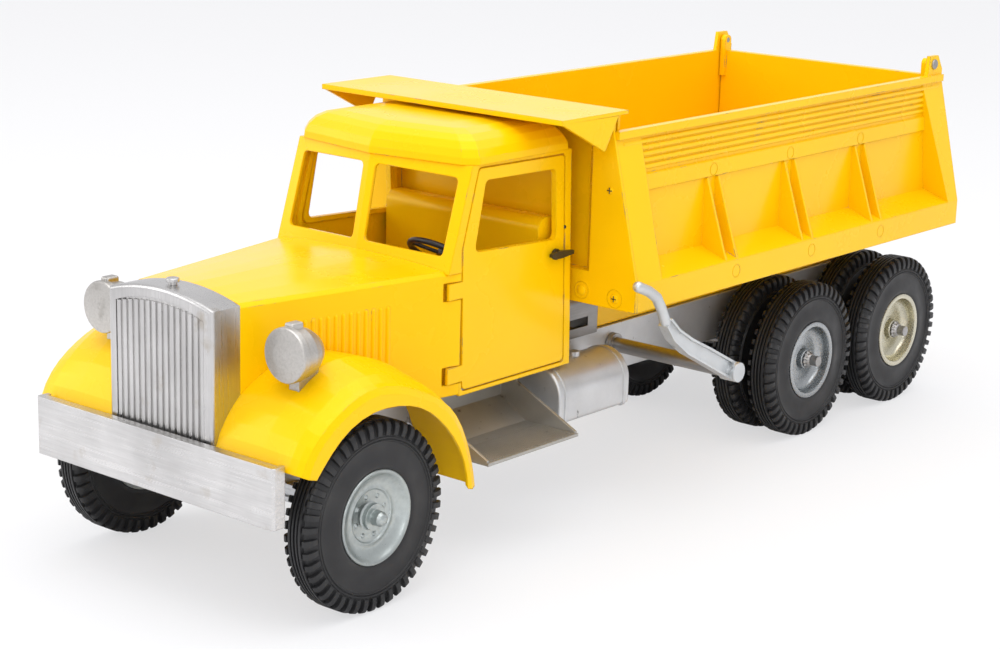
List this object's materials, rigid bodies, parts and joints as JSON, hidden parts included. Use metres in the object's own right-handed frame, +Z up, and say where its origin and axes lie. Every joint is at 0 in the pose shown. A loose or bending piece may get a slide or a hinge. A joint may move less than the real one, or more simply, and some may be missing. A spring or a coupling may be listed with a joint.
{
  "type": "toy dump truck",
  "caption": "Push-along toy dump truck with long hood, open cab, steered front wheels, rocking rear bogie and a lever-tipped load bed with a hinged tailgate.",
  "frame": {"origin": "on the floor, under the middle of the whole truck's box; the truck's middle plane is at x = -9.3 mm, because the lever stands out on the left", "axes": "+Z up, -Y towards the front bumper, +X towards the truck's left-hand side, where the dump lever is"},
  "size_m": [0.2064, 0.572, 0.209],
  "materials": {
    "body_yellow": "bright yellow baked enamel, small chips and grey wear at the edges",
    "grille_metal": "bare polished casting",
    "bumper_metal": "bare metal with fine scratches along it",
    "lamp_metal": "grainy bare casting",
    "chassis_silver": "silver paint",
    "lever_silver": "silver paint",
    "hoist_metal": "brushed sheet",
    "step_grey": "grey sheet with raised ribs",
    "tyre_black": "moulded black rubber",
    "front_rim_metal": "dull galvanised dish",
    "middle_rim_metal": "dark blue-grey dish",
    "rear_rim_metal": "warm bright dish",
    "steel": "bare steel",
    "dark_steel": "dark steel",
    "black_plastic": "black"
  },
  "bodies": {
    "chassis": {"rail_left": "chassis_silver", "rail_right": "chassis_silver", "crossmembers": "chassis_silver", "front_axle_beam": "chassis_silver", "kingpins": "steel", "front_springs": "chassis_silver", "bumper": "bumper_metal", "bumper_brackets": "chassis_silver", "grille_shell": "grille_metal", "radiator_cap": "grille_metal", "hood": "body_yellow", "fender_left": "body_yellow", "fender_right": "body_yellow", "headlights": "lamp_metal", "cab_body": "body_yellow", "cab_roof": "body_yellow", "cab_floor": "body_yellow", "seat": "body_yellow", "door_hinge_pins": "steel", "step_left": "step_grey", "step_right": "step_grey", "fuel_tanks": "chassis_silver", "hoist_housing": "hoist_metal", "pivot_brackets": "chassis_silver", "pivot_shaft": "steel"},
    "knuckle_left": {"knuckle_left": "chassis_silver", "front_hub_left": "front_rim_metal"},
    "knuckle_right": {"knuckle_right": "chassis_silver", "front_hub_right": "front_rim_metal"},
    "tie_rod": {"tie_rod": "chassis_silver"},
    "steering": {"steering_wheel": "black_plastic", "steering_column": "black_plastic"},
    "front_wheel_left": {"front_tyre_left": "tyre_black", "front_rim_left": "front_rim_metal"},
    "front_wheel_right": {"front_tyre_right": "tyre_black", "front_rim_right": "front_rim_metal"},
    "bogie": {"rocker_beams": "chassis_silver", "rear_axles": "steel", "rear_hub_nuts": "steel"},
    "middle_wheels_left": {"middle_tyres_left": "tyre_black", "middle_rims_left": "middle_rim_metal"},
    "middle_wheels_right": {"middle_tyres_right": "tyre_black", "middle_rims_right": "middle_rim_metal"},
    "rear_wheels_left": {"rear_tyres_left": "tyre_black", "rear_rims_left": "rear_rim_metal"},
    "rear_wheels_right": {"rear_tyres_right": "tyre_black", "rear_rims_right": "rear_rim_metal"},
    "door_left": {"door_left": "body_yellow"},
    "door_right": {"door_right": "body_yellow"},
    "handle_left": {"door_handle_left": "dark_steel"},
    "handle_right": {"door_handle_right": "dark_steel"},
    "bed": {"bed_floor": "body_yellow", "bed_side_left": "body_yellow", "bed_side_right": "body_yellow", "headboard": "body_yellow", "tailgate_pins": "steel", "body_screws": "steel"},
    "tailgate": {"tailgate": "body_yellow"},
    "lift": {"lift_shaft": "steel", "dump_lever": "lever_silver"}
  },
  "joints": [
    {"name": "dump_tip", "type": "hinge", "parent": "chassis", "child": "bed", "pos_m": [-0.0093, 0.2509, 0.096], "axis": [-1, 0, 0], "range_deg": [0, 30]},
    {"name": "lever_swing", "type": "hinge", "parent": "chassis", "child": "lift", "pos_m": [-0.0093, 0.0149, 0.0695], "axis": [1, 0, 0], "range_deg": [0, 31.8]},
    {"name": "tailgate_swing", "type": "hinge", "parent": "bed", "child": "tailgate", "pos_m": [-0.0093, 0.2609, 0.204], "axis": [1, 0, 0], "range_deg": [0, 70]},
    {"name": "door_left_open", "type": "hinge", "parent": "chassis", "child": "door_left", "pos_m": [0.0442, -0.1455, 0.105], "axis": [0, 0, -1], "range_deg": [0, 70]},
    {"name": "door_right_open", "type": "hinge", "parent": "chassis", "child": "door_right", "pos_m": [-0.0628, -0.1455, 0.105], "axis": [0, 0, 1], "range_deg": [0, 70]},
    {"name": "handle_left_turn", "type": "hinge", "parent": "door_left", "child": "handle_left", "pos_m": [0.0477, -0.0718, 0.1364], "axis": [-1, 0, 0], "range_deg": [0, 35]},
    {"name": "handle_right_turn", "type": "hinge", "parent": "door_right", "child": "handle_right", "pos_m": [-0.0663, -0.0718, 0.1364], "axis": [-1, 0, 0], "range_deg": [0, 35]},
    {"name": "steer_left", "type": "hinge", "parent": "chassis", "child": "knuckle_left", "pos_m": [0.0487, -0.2271, 0.0445], "axis": [0, 0, 1], "range_deg": [-18, 18]},
    {"name": "steer_right", "type": "hinge", "parent": "chassis", "child": "knuckle_right", "pos_m": [-0.0673, -0.2271, 0.0445], "axis": [0, 0, 1], "range_deg": [-18, 18]},
    {"name": "tie_rod_slide", "type": "slide", "parent": "chassis", "child": "tie_rod", "axis": [-1, 0, 0], "range_m": [-0.00475, 0.00475]},
    {"name": "steering_wheel_turn", "type": "hinge", "parent": "chassis", "child": "steering", "pos_m": [0.0167, -0.1191, 0.137], "axis": [0, 0.5736, 0.8192], "range_deg": [-72.5, 72.5]},
    {"name": "front_left_spin", "type": "hinge", "parent": "knuckle_left", "child": "front_wheel_left", "pos_m": [0.0672, -0.2271, 0.0445], "axis": [1, 0, 0], "continuous": true},
    {"name": "front_right_spin", "type": "hinge", "parent": "knuckle_right", "child": "front_wheel_right", "pos_m": [-0.0858, -0.2271, 0.0445], "axis": [1, 0, 0], "continuous": true},
    {"name": "bogie_rock", "type": "hinge", "parent": "chassis", "child": "bogie", "pos_m": [-0.0093, 0.1925, 0.06], "axis": [1, 0, 0], "range_deg": [-6, 6]},
    {"name": "middle_left_spin", "type": "hinge", "parent": "bogie", "child": "middle_wheels_left", "pos_m": [0.0477, 0.1435, 0.0445], "axis": [1, 0, 0], "continuous": true},
    {"name": "middle_right_spin", "type": "hinge", "parent": "bogie", "child": "middle_wheels_right", "pos_m": [-0.0663, 0.1435, 0.0445], "axis": [1, 0, 0], "continuous": true},
    {"name": "rear_left_spin", "type": "hinge", "parent": "bogie", "child": "rear_wheels_left", "pos_m": [0.0477, 0.2415, 0.0445], "axis": [1, 0, 0], "continuous": true},
    {"name": "rear_right_spin", "type": "hinge", "parent": "bogie", "child": "rear_wheels_right", "pos_m": [-0.0663, 0.2415, 0.0445], "axis": [1, 0, 0], "continuous": true}
  ],
  "couplings": [
    {"joint": "lever_swing", "follows": "dump_tip", "ratio": 1.0544},
    {"joint": "steer_right", "follows": "steer_left", "ratio": 1},
    {"joint": "tie_rod_slide", "follows": "steer_left", "m_per_rad": 0.015},
    {"joint": "steering_wheel_turn", "follows": "steer_left", "ratio": 4}
  ]
}
